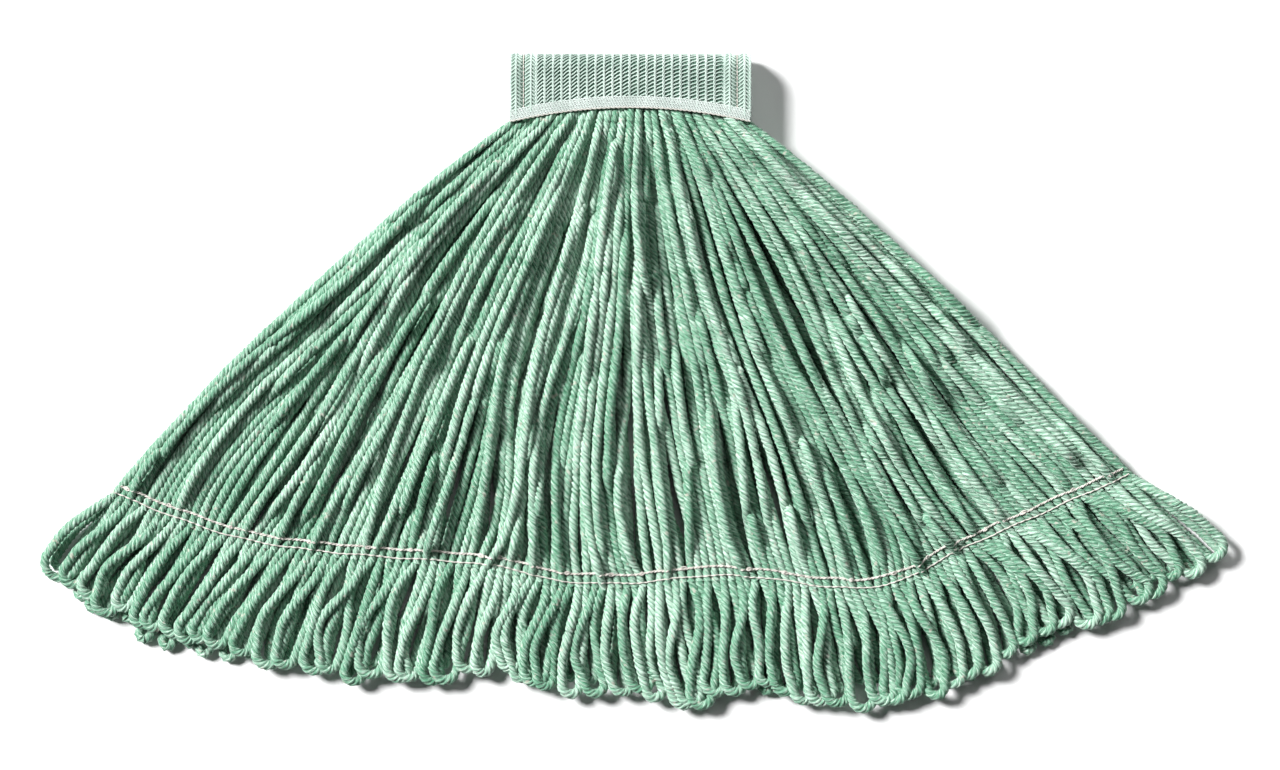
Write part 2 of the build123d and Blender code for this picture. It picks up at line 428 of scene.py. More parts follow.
class Finish(Enum):
    """The named finishes of the mop head."""

    YARN = YarnFinish()
    MESH = ThreadFinish("mesh_thread", Dye(0.57, 0.68, 0.62), Dye(0.33, 0.44, 0.385))
    CHAIN = ThreadFinish("mesh_chain", Dye(0.56, 0.65, 0.60), Dye(0.33, 0.43, 0.38))
    TAPE = ThreadFinish("tape_thread", Dye(0.58, 0.64, 0.61), Dye(0.30, 0.37, 0.335))
    STITCH = ThreadFinish("stitch_thread", Dye(0.70, 0.66, 0.61), Dye(0.47, 0.44, 0.40))
    # Painted shade: a dark sheet under the open mesh, standing for the shade seen through its holes.
    MESH_SHADE_SHEET = GroundFinish("mesh_shade_sheet", Dye(0.15, 0.24, 0.19), Dye(0.03, 0.09, 0.06))
    HEM_GROUND = GroundFinish("hem_ground", Dye(0.27, 0.37, 0.315), Dye(0.12, 0.20, 0.155))
    TAPE_GROUND = GroundFinish("tape_ground", Dye(0.34, 0.42, 0.38), Dye(0.14, 0.22, 0.18))
    FLOOR = FloorFinish()

    def material(self) -> bpy.types.Material:
        """The finish's material, made the first time it is asked for."""
        return bpy.data.materials.get(self.value.name) or self.value.build()


# ---------------------------------------------------------------- yarn and thread


@dataclass
class Strand:
    """One yarn or thread: the line it follows, and what varies along it."""

    points: np.ndarray
    girth: np.ndarray | float = 1.0
    tone: float = 0.5
    start: float = 0.0


@dataclass(frozen=True)
class TwistedSweep:
    """Sweeps a section of twisted plies along strands, with Geometry Nodes."""

    radius: float
    plies: int = 4
    points_per_ply: int = 4
    groove: float = 0.23
    lay: float = 0.0146
    ring: float = 0.0019
    level: bool = True
    wander_scale: float = 70.0
    twist_wander: float = 3.0
    lump_scale: float = 330.0
    lump_height: float = 0.0021

    def tree(self, material: bpy.types.Material) -> bpy.types.NodeTree:
        """Build the node tree: resample the lines, twist them and sweep the section.

        Args:
            material: What the swept mesh is made of.

        Returns:
            The tree.
        """
        tree = bpy.data.node_groups.new("twisted_sweep", "GeometryNodeTree")
        face = tree.interface
        face.new_socket("Geometry", in_out="INPUT", socket_type="NodeSocketGeometry")
        for name in ("Radius", "Ring spacing", "Lay length", "Groove depth"):
            face.new_socket(name, in_out="INPUT", socket_type="NodeSocketFloat")
        face.new_socket("Section points", in_out="INPUT", socket_type="NodeSocketInt")
        face.new_socket("Geometry", in_out="OUTPUT", socket_type="NodeSocketGeometry")
        g = Graph(tree)
        given = g.add("NodeGroupInput")
        size = {socket.name: Term(g, socket) for socket in given.outputs if socket.name}
        line = self.twisted_line(g, size)
        section = self.section(g, size)
        girth = self.named(g, "girth", "FLOAT")
        mesh = g.term("GeometryNodeCurveToMesh", None, {
            "Curve": line, "Profile Curve": section, "Scale": girth, "Fill Caps": True})
        parts = g.add("ShaderNodeSeparateXYZ", None, {0: self.named(g, "section", "FLOAT_VECTOR")})
        fibre = g.term("ShaderNodeCombineXYZ", None, {
            "X": Term(g, parts.outputs["X"]), "Y": Term(g, parts.outputs["Y"]),
            "Z": self.named(g, "along", "FLOAT")})
        mesh = self.store(g, mesh, "fibre", fibre, "FLOAT_VECTOR")
        here = g.term("GeometryNodeInputPosition")
        lumps = g.noise(here, self.lump_scale, 2.0, 0.6) - 0.5
        swell = g.term("ShaderNodeVectorMath", {"operation": "SCALE"},
                       {0: g.term("GeometryNodeInputNormal"), "Scale": lumps * self.lump_height})
        mesh = g.term("GeometryNodeSetPosition", None, {"Geometry": mesh, "Offset": swell})
        mesh = g.term("GeometryNodeSetShadeSmooth", None, {"Geometry": mesh, "Shade Smooth": True})
        mesh = g.term("GeometryNodeRealizeInstances", None, {"Geometry": mesh})
        mesh = g.term("GeometryNodeSetMaterial", None, {"Geometry": mesh, "Material": material})
        done = g.add("NodeGroupOutput")
        g.feed(done.inputs[0], mesh)
        return tree

    def named(self, g: Graph, name: str, kind: str) -> Term:
        """Read a named attribute in a geometry tree."""
        return g.term("GeometryNodeInputNamedAttribute", {"data_type": kind}, {"Name": name})

    def store(self, g: Graph, geometry: Term, name: str, value: Term, kind: str) -> Term:
        """Store a value at each point under a name."""
        return g.term("GeometryNodeStoreNamedAttribute", {"data_type": kind, "domain": "POINT"},
                      {"Geometry": geometry, "Name": name, "Value": value})

    def twisted_line(self, g: Graph, size: dict[str, Term]) -> Term:
        """Resample the lines and turn them about themselves as they go along.

        Args:
            g: The tree's graph.
            size: The tree's inputs by name.

        Returns:
            The lines.
        """
        line = g.term("GeometryNodeMeshToCurve", None, {"Mesh": size["Geometry"]})
        line = g.term("GeometryNodeResampleCurve", {"mode": "LENGTH"},
                      {"Curve": line, "Length": size["Ring spacing"]})
        mode = "Z_UP" if self.level else "MINIMUM_TWIST"
        line = g.term("GeometryNodeSetCurveNormal", {"mode": mode}, {"Curve": line})
        start = self.named(g, "start", "FLOAT")
        along = g.term("GeometryNodeSplineParameter", None, None, "Length") + start
        here = g.term("GeometryNodeInputPosition")
        uneven = (g.noise(here, self.wander_scale, 1.0) - 0.5) * self.twist_wander
        turn = uneven - along * (2 * math.pi) / size["Lay length"]
        line = g.term("GeometryNodeSetCurveTilt", None, {"Curve": line, "Tilt": turn})
        return self.store(g, line, "along", along, "FLOAT")

    def section(self, g: Graph, size: dict[str, Term]) -> Term:
        """Draw the section: a circle with a groove between each two plies.

        Args:
            g: The tree's graph.
            size: The tree's inputs by name.

        Returns:
            The closed curve.
        """
        circle = g.term("GeometryNodeCurvePrimitiveCircle", {"mode": "RADIUS"},
                        {"Resolution": size["Section points"], "Radius": 1.0})
        index = g.term("GeometryNodeInputIndex")
        place = g.term("GeometryNodeInputPosition")
        around = index * (2 * math.pi) / size["Section points"]
        ridge = (around * float(self.plies)).wave()
        reach = (1.0 - size["Groove depth"] * ((1.0 - ridge) ** 1.4)) * size["Radius"]
        section = self.store(g, circle, "ridge", ridge, "FLOAT")
        section = self.store(g, section, "section", place, "FLOAT_VECTOR")
        placed = g.term("ShaderNodeVectorMath", {"operation": "SCALE"}, {0: place, "Scale": reach})
        return g.term("GeometryNodeSetPosition", None, {"Geometry": section, "Position": placed})

    def sweep(self, name: str, strands: list[Strand], finish: Finish) -> bpy.types.Object:
        """Make one plain mesh piece from strands.

        Args:
            name: The piece's name.
            strands: The lines to sweep.
            finish: What the piece is made of.

        Returns:
            The piece, at the origin, with no modifier left on it.
        """
        counts = [len(strand.points) for strand in strands]
        points = np.concatenate([strand.points for strand in strands])
        firsts = np.concatenate([[0], np.cumsum(counts)[:-1]])
        edges = [(first + i, first + i + 1) for first, count in zip(firsts, counts)
                 for i in range(count - 1)]
        mesh = bpy.data.meshes.new(name + "_lines")
        mesh.from_pydata(points.tolist(), edges, [])
        values = {
            "girth": [np.broadcast_to(s.girth, len(s.points)) for s in strands],
            "tone": [np.full(len(s.points), s.tone) for s in strands],
            "start": [np.full(len(s.points), s.start) for s in strands],
        }
        for key, parts in values.items():
            attribute = mesh.attributes.new(key, "FLOAT", "POINT")
            attribute.data.foreach_set("value", np.concatenate(parts).astype(np.float32))
        lines = bpy.data.objects.new(name + "_lines", mesh)
        bpy.context.scene.collection.objects.link(lines)
        modifier = lines.modifiers.new("sweep", "NODES")
        tree = self.tree(finish.material())
        sizes = {
            "Radius": self.radius,
            "Ring spacing": self.ring,
            "Lay length": self.lay,
            "Groove depth": self.groove,
            "Section points": self.plies * self.points_per_ply,
        }
        modifier.node_group = tree
        for item in tree.interface.items_tree:
            if item.in_out == "INPUT" and item.name in sizes:
                modifier[item.identifier] = sizes[item.name]
        piece = bake_out(lines, name)
        bpy.data.node_groups.remove(tree)
        log.info("%s: %d strands, %d faces", name, len(strands), len(piece.data.polygons))
        return piece


def bake_out(source: bpy.types.Object, name: str) -> bpy.types.Object:
    """Turn a modified object into a plain mesh object and remove the source.

    Args:
        source: The object with its modifier.
        name: The new object's name.

    Returns:
        The plain object.
    """
    graph = bpy.context.evaluated_depsgraph_get()
    mesh = bpy.data.meshes.new_from_object(source.evaluated_get(graph), depsgraph=graph)
    mesh.name = name
    for key in [a.name for a in mesh.attributes if a.name in ("section", "along", "girth", "start")]:
        mesh.attributes.remove(mesh.attributes[key])
    source.modifiers.clear()
    bpy.data.objects.remove(source)
    piece = bpy.data.objects.new(name, mesh)
    bpy.context.scene.collection.objects.link(piece)
    return piece


def smooth_line(points: np.ndarray, parts: int) -> np.ndarray:
    """Smooth line through points, with each stretch between them cut into parts.

    Args:
        points: The points, one in each row.
        parts: How many parts to a stretch.

    Returns:
        The line's points.
    """
    padded = np.concatenate([[2 * points[0] - points[1]], points, [2 * points[-1] - points[-2]]])
    before, a, b, after = padded[:-3], padded[1:-2], padded[2:-1], padded[3:]
    t = (np.arange(parts) / parts)[None, :, None]
    a, b, before, after = (p[:, None, :] for p in (a, b, before, after))
    curve = 0.5 * (2 * a + (b - before) * t + (2 * before - 5 * a + 4 * b - after) * t**2
                   + (3 * a - before - 3 * b + after) * t**3)
    return np.concatenate([curve.reshape(-1, points.shape[1]), points[-1:]])


def line_lengths(points: np.ndarray) -> np.ndarray:
    """Distance of each point from the first, along the line."""
    steps = np.linalg.norm(np.diff(points, axis=0), axis=1)
    return np.concatenate([[0.0], np.cumsum(steps)])


def smooth_share(value: np.ndarray | float) -> np.ndarray | float:
    """Smooth step of a share, held between 0 and 1."""
    held = np.clip(value, 0.0, 1.0)
    return held * held * (3 - 2 * held)


# ---------------------------------------------------------------- the fan


@dataclass
class FanPlan:
    """Where the yarns run: from the arched seam of the band to the tail line, seen from above."""

    seam_rise: float = 0.009
    tail_line: tuple[tuple[float, float], ...] = (
        (-0.332, -0.237), (-0.290, -0.254), (-0.247, -0.2675), (-0.196, -0.2755), (-0.150, -0.2797),
        (-0.087, -0.2846), (-0.045, -0.2945), (0.003, -0.2957), (0.041, -0.2917), (0.079, -0.2917),
        (0.124, -0.2978), (0.152, -0.2985), (0.178, -0.2920), (0.210, -0.2745), (0.254, -0.2550),
        (0.3215, -0.2250),
    )
    band_lean: tuple[tuple[float, float], ...] = (
        (0.0, -54.0), (0.15, -34.0), (0.35, -13.0), (0.5, -2.0), (0.65, 8.0), (0.85, 29.0), (1.0, 53.0),
    )
    tail_lean: tuple[tuple[float, float], ...] = (
        (0.0, -41.0), (0.27, -31.0), (0.425, -14.0), (0.5, -3.0), (0.61, 4.0), (0.7, 12.0), (0.8, 23.0),
        (1.0, 46.0),
    )
    loop_lean: tuple[tuple[float, float], ...] = (
        (0.0, -44.0), (0.15, -32.0), (0.25, -24.0), (0.35, -18.0), (0.45, -8.0), (0.55, 0.0),
        (0.68, 7.0), (0.75, 15.0), (0.85, 32.0), (1.0, 53.0),
    )
    loop_length: tuple[tuple[float, float], ...] = (
        (0.0, 0.0600), (0.05, 0.0700), (0.15, 0.0745), (0.3, 0.0730), (0.36, 0.0680), (0.42, 0.0610),
        (0.48, 0.0630), (0.55, 0.0690), (0.7, 0.0680), (0.85, 0.0710), (0.95, 0.0750), (1.0, 0.0780),
    )
    grid: int = 161

    def __post_init__(self) -> None:
        """Read the band's ends and the crease from the frame, and lay out the tail line."""
        left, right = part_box("left_hem")[0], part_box("right_hem")[1]
        joint = next(j for j in frame["joints"] if j["name"] == "headband_fold")
        self.left, self.width = left.x, right.x - left.x
        self.middle_x = (left.x + right.x) / 2
        self.crease_y = joint["pos_m"][1]
        tail = np.array(self.tail_line) + (self.middle_x, self.crease_y)
        self.tail = smooth_line(tail, 12)
        self.tail_length = line_lengths(self.tail)

    def at(self, table: tuple[tuple[float, float], ...], u: np.ndarray) -> np.ndarray:
        """Read a table of values across the fan."""
        knots = np.array(table)
        return np.interp(u, knots[:, 0], knots[:, 1])

    def seam(self, u: np.ndarray) -> np.ndarray:
        """Points on the arched seam.

        Args:
            u: Shares of the way across the fan.

        Returns:
            The points.
        """
        x = self.left + self.width * u
        y = self.crease_y + self.seam_rise * (1 - (2 * u - 1) ** 2)
        return np.stack([x, y], axis=-1)

    def tail_at(self, u: np.ndarray) -> np.ndarray:
        """Points on the tail line.

        Args:
            u: Shares of the way across the fan.

        Returns:
            The points.
        """
        place = u * self.tail_length[-1]
        x = np.interp(place, self.tail_length, self.tail[:, 0])
        y = np.interp(place, self.tail_length, self.tail[:, 1])
        return np.stack([x, y], axis=-1)

    def heading(self, angle: np.ndarray) -> np.ndarray:
        """Unit vectors, with the angle measured from straight down the fan, positive to the right."""
        turn = np.radians(angle)
        return np.stack([np.sin(turn), -np.cos(turn)], axis=-1)

    def point(self, u: np.ndarray, t: np.ndarray) -> np.ndarray:
        """Points a share t of the way from the seam to the tail line.

        Args:
            u: Shares of the way across the fan.
            t: Shares of the way down it.

        Returns:
            The points.
        """
        start, end = self.seam(u), self.tail_at(u)
        reach = np.linalg.norm(end - start, axis=-1, keepdims=True) / 3
        out = start + self.heading(self.at(self.band_lean, u)) * reach
        back = end - self.heading(self.at(self.tail_lean, u)) * reach
        t = np.asarray(t)[..., None]
        s = 1 - t
        return start * s**3 + out * 3 * s * s * t + back * 3 * s * t * t + end * t**3

    def spread(self, t: float) -> np.ndarray:
        """Room across the yarns from the left edge, at each grid place of one station.

        Args:
            t: The station's share of the way down the fan.

        Returns:
            The distances.
        """
        u = np.linspace(0, 1, self.grid)
        here = self.point(u, np.full_like(u, t))
        ahead = self.point(u, np.full_like(u, t + 0.01)) if t < 0.99 else here
        behind = self.point(u, np.full_like(u, t - 0.01)) if t > 0.01 else here
        along = ahead - behind
        along /= np.linalg.norm(along, axis=1, keepdims=True)
        step = np.diff(here, axis=0)
        mid = (along[1:] + along[:-1]) / 2
        room = np.abs(step[:, 0] * mid[:, 1] - step[:, 1] * mid[:, 0])
        return np.concatenate([[0.0], np.cumsum(room)])


class Layer(Enum):
    """The two layers of yarn, with what their pieces are called."""

    BACK = "back"
    FRONT = "front"


@dataclass
class LayerSizes:
    """Heights of one layer along the yarns, from the seam to the tail line."""

    places: tuple[float, ...] = (0.0, 0.012, 0.04, 0.12, 0.5, 0.93, 0.985, 1.0)
    floor: tuple[float, ...] = (0.0143, 0.0143, 0.0143, 0.0150, 0.0104, 0.0080, 0.0078, 0.0078)
    roof: tuple[float, ...] = (0.0262, 0.0285, 0.0325, 0.0360, 0.0335, 0.0225, 0.0165, 0.0142)

    def floor_at(self, t: np.ndarray) -> np.ndarray:
        """Height of what the layer lies on."""
        return np.interp(t, self.places, self.floor)

    def roof_at(self, t: np.ndarray) -> np.ndarray:
        """Height that the layer stays under."""
        return np.interp(t, self.places, self.roof)


@dataclass
class YarnPacking:
    """Settles one layer's yarns under their own weight, side by side and over each other."""

    plan: FanPlan
    sizes: LayerSizes
    seed: int
    strands: int = 128
    stations: int = 48
    thickness: float = 0.0056
    rounds: int = 220
    rows: int = 4
    sideways: float = 0.07
    upwards: float = 0.46
    home_pull: float = 0.08
    fall: float = 0.00022
    wander: float = 0.0050
    rover_share: float = 0.07
    rover_reach: float = 0.016
    bulge: float = 0.0058
    right_bulge: float = 0.8
    ripples: tuple[tuple[float, float], ...] = (
        (2.3, 0.010), (5.1, 0.0085), (9.7, 0.0060), (17.0, 0.0048), (29.0, 0.0038))
    girths: tuple[tuple[float, float], ...] = (
        (0.0, 0.76), (0.03, 0.82), (0.12, 0.90), (0.35, 1.0), (0.9, 1.0), (1.0, 0.93))

    def settle(self) -> None:
        """Find every yarn's place at every station."""
        random = np.random.default_rng(self.seed)
        self.t = np.linspace(0, 1, self.stations)
        self.tables = np.array([self.plan.spread(t) for t in self.t])
        self.order = (np.arange(self.strands) + 0.5) / self.strands
        t = self.t[:, None]
        self.calm = np.sin(np.pi * t) ** 0.8
        self.relief = smooth_share(t / 0.09) * smooth_share((1 - t) / 0.06)
        side, rovers = self.first_places(random)
        row = random.permutation(np.arange(self.strands) % self.rows) + rovers * 1.5
        self.girth = self.plan.at(self.girths, self.t)[:, None]
        height = self.relax(side, row)
        self.side, self.height = side, self.lift_tops(height, random)

    def first_places(self, random: np.random.Generator) -> tuple[np.ndarray, np.ndarray]:
        """Spread the yarns over the fan, in clumps and with some that stray across others.

        Args:
            random: Where the unevenness is drawn from.

        Returns:
            Each yarn's place across the fan at each station, and which yarns stray.
        """
        count, order, t = self.strands, self.order, self.t[:, None]
        swap = random.normal(0, 1.6 / count, count)
        place = order[None, :] + swap[None, :] * np.cos(np.pi / 2 * t) ** 0.7
        for waves, size in self.ripples:
            drift, phase = random.uniform(-1.1, 1.1), random.uniform(0, 2 * np.pi, 2)
            swing = np.sin(2 * np.pi * (waves * order[None, :] + drift * t) + phase[0])
            beat = np.sin(2 * np.pi * 0.9 * t + phase[1])
            place = place + size * swing * beat * (self.calm + self.relief) / 2
        own, phases = random.normal(0, self.wander, count), random.uniform(0, 2 * np.pi, count)
        turns = random.uniform(0.6, 1.6, count)
        place = place + own * np.sin(2 * np.pi * turns * t + phases) * self.calm
        rovers = random.random(count) < self.rover_share
        place = place + rovers * np.sign(own) * self.rover_reach * self.calm**2
        return (place * self.tables[:, -1:]).astype(np.float32), rovers

    def relax(self, side: np.ndarray, row: np.ndarray) -> np.ndarray:
        """Let the yarns fall and push each other apart until they lie still.

        Args:
            side: Places across the fan, changed in place.
            row: Which row each yarn starts in.

        Returns:
            The yarns' heights.
        """
        room = self.tables[:, -1:]
        floor = self.sizes.floor_at(self.t)[:, None]
        roof = self.sizes.roof_at(self.t)[:, None]
        lift = np.interp(self.t, (0, 0.15, 0.9, 1), (1, 1, 0.8, 0.4))[:, None]
        height = (floor + self.thickness * (0.5 + 0.8 * row[None, :] * lift)).astype(np.float32)
        need = (self.thickness * self.girth).astype(np.float32)
        home = side.copy()
        for turn in range(self.rounds):
            side += (home - side) * self.home_pull
            height -= self.fall
            self.push_apart(side, height, need)
            if turn % 2 == 0:
                self.straighten(side, 0.5)
                self.straighten(height, 0.35)
            np.clip(side, need / 2, room - need / 2, out=side)
            np.clip(height, floor + need / 2, roof - need / 2, out=height)
        return height

    def lift_tops(self, height: np.ndarray, random: np.random.Generator) -> np.ndarray:
        """Raise the yarns on top here and there, as loose ones stand out of a bundle.

        Args:
            height: The yarns' heights.
            random: Where the raised stretches are drawn from.

        Returns:
            The new heights.
        """
        t, order = self.t[:, None], self.order
        low = self.sizes.floor_at(self.t)[:, None] + (self.thickness * self.girth).astype(np.float32) / 2
        bulge = random.normal(0, self.bulge, height.shape)
        for _ in range(6):
            self.straighten(bulge, 0.6)
        lower_right = smooth_share((order[None, :] - 0.66) / 0.2) * smooth_share((t - 0.3) / 0.3)
        bulge *= 1 + self.right_bulge * lower_right
        on_top = smooth_share((height - low) / 0.006 + 0.35)
        height += np.abs(bulge) * on_top * self.relief
        return np.maximum(height, low)

    def push_apart(self, side: np.ndarray, height: np.ndarray, need: np.ndarray) -> None:
        """Move yarns that are too close away from each other, more upwards than sideways.

        Args:
            side: Places across the fan, changed in place.
            height: Heights, changed in place.
            need: How far apart the yarns' middles are at least.
        """
        across = side[:, :, None] - side[:, None, :]
        up = height[:, :, None] - height[:, None, :]
        gap = np.sqrt(across * across + up * up) + 1e-9
        over = np.clip(need[:, :, None] - gap, 0, None) / gap
        diagonal = np.arange(side.shape[1])
        over[:, diagonal, diagonal] = 0
        side += self.sideways * (over * across).sum(axis=2)
        height += self.upwards * (over * up).sum(axis=2)

    def straighten(self, value: np.ndarray, share: float) -> None:
        """Pull each station towards the mean of its neighbours along the yarn."""
        value[1:-1] += share * ((value[:-2] + value[2:]) / 2 - value[1:-1])

    def lines(self) -> list[np.ndarray]:
        """Every yarn's line from the seam to the tail line.

        Returns:
            One line for each yarn.
        """
        u = np.empty_like(self.side, dtype=float)
        grid = np.linspace(0, 1, self.plan.grid)
        for k in range(self.stations):
            u[k] = np.interp(self.side[k], self.tables[k], grid)
        flat = self.plan.point(u, np.broadcast_to(self.t[:, None], u.shape))
        whole = np.concatenate([flat, self.height[..., None]], axis=2)
        self.tail_u = u[-1]
        return [whole[:, j, :] for j in range(self.strands)]


# ---------------------------------------------------------------- skirt and fringe


@dataclass
class Skirt:
    """One layer of the mop: its yarns, the loops at their ends and where they bend."""

    plan: FanPlan
    layer: Layer
    sizes: LayerSizes
    sweep: TwistedSweep
    seed: int
    thickness: float = 0.0062
    neck_inside: float = 0.007
    rows: tuple[float, ...] = (0.0030, 0.0087)
    pinch: float = 0.17
    shingle: float = 0.0044
    widest: tuple[float, float] = (0.0050, 0.0082)
    ring_edge: float = 0.0026
    length_share: float = 1.0
    turn_over: float = 0.72
    unrest: float = 1.0
    bow: float = 0.0032
    curl: float = 0.0016
    end_sway: float = 0.0030
    sink: float = 0.0022
    lowest: float = 0.0038
    bend_length: float = 0.035
    neck_bend: tuple[float, float] = (0.012, 0.0)
    parts: int = 5
    group_edges: tuple[float, ...] = (-0.2237, -0.0937, 0.0613, 0.1763)

    def lay_out(self) -> None:
        """Settle the yarns, and take their girths and tones."""
        packing = YarnPacking(self.plan, self.sizes, self.seed)
        packing.settle()
        lines = packing.lines()
        self.random = np.random.default_rng(self.seed + 100)
        self.lines, self.girths, self.tones = [], [], []
        order = np.argsort(packing.tail_u)
        for j in order:
            line = smooth_line(lines[j], 4)
            along = line_lengths(line)
            to_tail = along[-1] - along
            girth = np.interp(np.linspace(0, 1, len(line)), packing.t, packing.girth[:, 0])
            beat = self.random.uniform(0, 2 * np.pi, 2)
            girth = girth * (1 + 0.035 * np.sin(along * 190 + beat[0]) + 0.03 * np.sin(along * 73 + beat[1]))
            for row in self.rows:
                girth = girth * (1 - self.pinch * np.exp(-((to_tail - row) / 0.0018) ** 2))
            self.lines.append(line)
            self.girths.append(girth)
            self.tones.append(self.random.random())
        self.tail_u = packing.tail_u[order]
        log.info("%s layer settled: %d yarns", self.layer.value, len(self.lines))

    def neck_cut(self, line: np.ndarray) -> int:
        """Index of the point where a yarn's neck ends.

        Args:
            line: The yarn's line.

        Returns:
            The index.
        """
        reach = 0.001 - self.neck_bend[1]
        below = np.nonzero(line[:, 1] < self.plan.crease_y - reach)[0]
        return max(2, int(below[0])) if len(below) else 2

    def main_strands(self) -> tuple[list[Strand], list[Strand]]:
        """The yarns from inside the band to the crease, and from there to the tail line.

        Returns:
            The necks and the rest, each with one strand for each yarn.
        """
        necks, mains = [], []
        for line, girth, tone in zip(self.lines, self.girths, self.tones):
            cut = self.neck_cut(line)
            inside = line[0] + np.array([0, self.neck_inside, 0])
            neck = np.concatenate([[inside], line[:cut + 2]])
            necks.append(Strand(neck, np.concatenate([[girth[0]], girth[:cut + 2]]), tone))
            gone = line_lengths(neck)[cut]
            mains.append(Strand(line[cut - 1:], girth[cut - 1:], tone, gone))
        return necks, mains

    def loops(self) -> list[tuple[Strand, int]]:
        """Bend each pair of neighbouring yarns into one loop, with the group it is in.

        Returns:
            Each loop with its group's number.
        """
        plan, random, found = self.plan, self.random, []
        count = len(self.lines) // 2
        drift, stretch = (np.convolve(random.normal(0, 1, count + 6), np.hanning(9)[1:-1] / 1.7, "valid")
                          for _ in range(2))
        for pair in range(count):
            a, b = self.lines[2 * pair], self.lines[2 * pair + 1]
            u = float(self.tail_u[2 * pair] + self.tail_u[2 * pair + 1]) / 2
            stray = 3.2 * drift[pair] + random.normal(0, 1.9)
            lean = float(plan.at(plan.loop_lean, u)) + self.unrest * stray
            length = float(plan.at(plan.loop_length, u)) * self.length_share
            length += 0.0028 * stretch[pair] + random.normal(0, 0.0024)
            root = (a[-1, 0] + b[-1, 0]) / 2 - plan.middle_x
            group = int(np.searchsorted(self.group_edges, root))
            found.append((self.loop(a[-1], b[-1], lean, length, u, pair), group))
        return found

    def loop(self, a: np.ndarray, b: np.ndarray, lean: float, length: float, u: float,
             pair: int) -> Strand:
        """One looped end.

        Args:
            a: Where it leaves the tail line.
            b: Where it comes back to it.
            lean: Its direction from straight down the fan.
            length: How far its end is from the tail line.
            u: Its place across the fan, from 0 to 1.
            pair: Its number, for what varies from loop to loop.

        Returns:
            The loop as one strand, from a round to b.
        """
        random = self.random
        down = self.plan.heading(np.array(lean))
        across = np.array([-down[1], down[0]])
        middle = (a[:2] + b[:2]) / 2
        half = float(np.dot(b[:2] - a[:2], across)) / 2
        edge = max(0.0, 1 - min(u, 1 - u) / 0.03)
        wide = random.uniform(*self.widest) + self.ring_edge * edge
        bow, curl = (random.normal(0, size) * self.unrest for size in (self.bow, self.curl))
        lift = self.shingle * random.uniform(0.75, 1.2)
        low = float(self.sizes.floor_at(np.array(1.0))) + self.thickness * 0.46
        top_side = -1.0 if u < self.turn_over else 1.0
        reach = length - wide
        shares = np.linspace(0.06, 1, 12)
        turns = np.linspace(0, np.pi, 9)[1:-1]
        forward = np.concatenate([shares * reach, reach + wide * np.sin(turns), shares[::-1] * reach])
        share = np.concatenate([shares, np.ones(len(turns)), shares[::-1]])
        leg = np.concatenate([-np.ones(12), -np.cos(turns), np.ones(12)])
        width = half + (wide - half) * smooth_share(share / 0.75)
        sway = bow * np.sin(np.pi * share) + curl * np.sin(2 * np.pi * share) * leg
        near_end = smooth_share((forward / reach - 0.72) / 0.35)
        sway = sway - top_side * self.end_sway * near_end * (1 - edge)
        sideways = leg * width + sway
        flat = middle + forward[:, None] * down + sideways[:, None] * across
        upper = 0.5 + 0.5 * leg * top_side
        raised = upper * lift * smooth_share(share / 0.4)
        sink = smooth_share((share - 0.5) / 0.5) * (self.sink + 0.4 * raised)
        tail_z = np.where(leg < 0, a[2], b[2])
        height = tail_z + (low - tail_z) * smooth_share(share / 0.5) + raised - sink
        height = np.maximum(height, self.lowest)
        line = np.column_stack([flat, height])
        line = smooth_line(np.concatenate([[a], line, [b]]), 4)
        gone = line_lengths(line)
        girth = 1.03 + 0.035 * np.sin(gone * 170 + pair) + 0.03 * np.sin(gone * 61 + 2.3 * pair)
        for end in (gone, gone[-1] - gone):
            girth = girth * (1 - 0.12 * np.exp(-((end + 0.0005) / 0.004) ** 2))
        whole = self.neck_inside + line_lengths(self.lines[2 * pair])[-1]
        return Strand(line, girth, self.tones[2 * pair], whole)

    def build(self) -> list[bpy.types.Object]:
        """Make the layer's pieces and give each to the bodies it moves with.

        Returns:
            The pieces.
        """
        side, plan = self.layer.value, self.plan
        necks, mains = self.main_strands()
        crease = (plan.middle_x, plan.crease_y, 0.0)
        neck = self.sweep.sweep(f"{side}_necks", necks, Finish.YARN)
        start, end = (Vector(crease) + Vector((0, reach, 0)) for reach in self.neck_bend)
        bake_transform(neck, "headband", "back_skirt", start, end)
        made = [neck]
        size = len(mains) / self.parts
        for part in range(self.parts):
            chosen = mains[round(part * size):round((part + 1) * size)]
            piece = self.sweep.sweep(f"{side}_yarns_{part + 1}", chosen, Finish.YARN)
            bundles = 10 // self.parts
            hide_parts(*[f"{side}_yarn_{bundles * part + k + 1}" for k in range(bundles)])
            if self.layer is Layer.FRONT:
                bent = Vector(crease) - Vector((0, self.bend_length, 0))
                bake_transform(piece, "back_skirt", "front_skirt", crease, bent)
            else:
                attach(piece, "back_skirt")
            made.append(piece)
        loops = self.loops()
        for group in range(5):
            chosen = [strand for strand, place in loops if place == group]
            piece = self.sweep.sweep(f"{side}_loops_{group + 1}", chosen, Finish.YARN)
            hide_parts(f"{side}_fringe_{group + 1}")
            if self.layer is Layer.FRONT:
                joint = next(j for j in frame["joints"] if j["child"] == f"front_fringe_group_{group + 1}")
                hinge, axis = Vector(joint["pos_m"]), Vector(joint["axis"])
                outward = axis.cross(Vector((0, 0, 1))).normalized()
                outward = outward if outward.y < 0 else -outward
                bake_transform(piece, "front_skirt", joint["child"], hinge, hinge + outward * 0.024)
            else:
                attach(piece, "back_skirt")
            made.append(piece)
        return made


